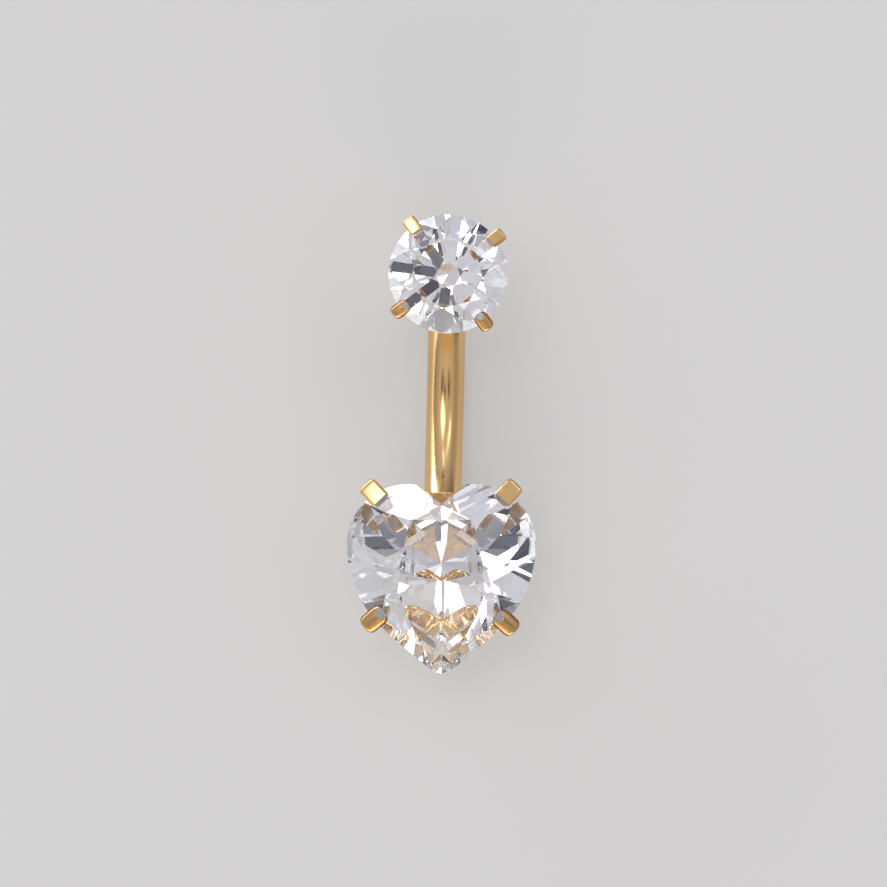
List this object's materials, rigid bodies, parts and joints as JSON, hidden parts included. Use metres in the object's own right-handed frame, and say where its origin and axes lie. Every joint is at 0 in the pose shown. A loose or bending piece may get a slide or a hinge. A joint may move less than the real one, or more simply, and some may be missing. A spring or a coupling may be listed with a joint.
{
  "type": "navel ring",
  "caption": "Curved barbell navel ring with a prong-set heart stone fixed below and a prong-set round stone on a screw-on head.",
  "frame": {"origin": "under the middle of the ring's box, on the surface that it lies on", "axes": "+Z is the way the stones face, +Y runs along the ring from the heart stone to the round stone, +X to the right of both when they are seen from the front"},
  "size_m": [0.008, 0.0194, 0.0066],
  "materials": {
    "gold_tone_steel": "polished gold-tone coating on surgical steel",
    "clear_heart_stone": "clear faceted cubic zirconia",
    "gold_tone_head": "polished gold-tone coating on surgical steel",
    "clear_round_stone": "clear faceted cubic zirconia"
  },
  "bodies": {
    "ring": {"bar_and_heart_setting": "gold_tone_steel", "heart_stone": "clear_heart_stone"},
    "top": {"screw_on_head": "gold_tone_head", "round_stone": "clear_round_stone"}
  },
  "joints": [
    {"name": "top_unscrew", "type": "slide", "parent": "ring", "child": "top", "axis": [0, 0.8824, 0.4706], "range_m": [0, 0.004]}
  ]
}
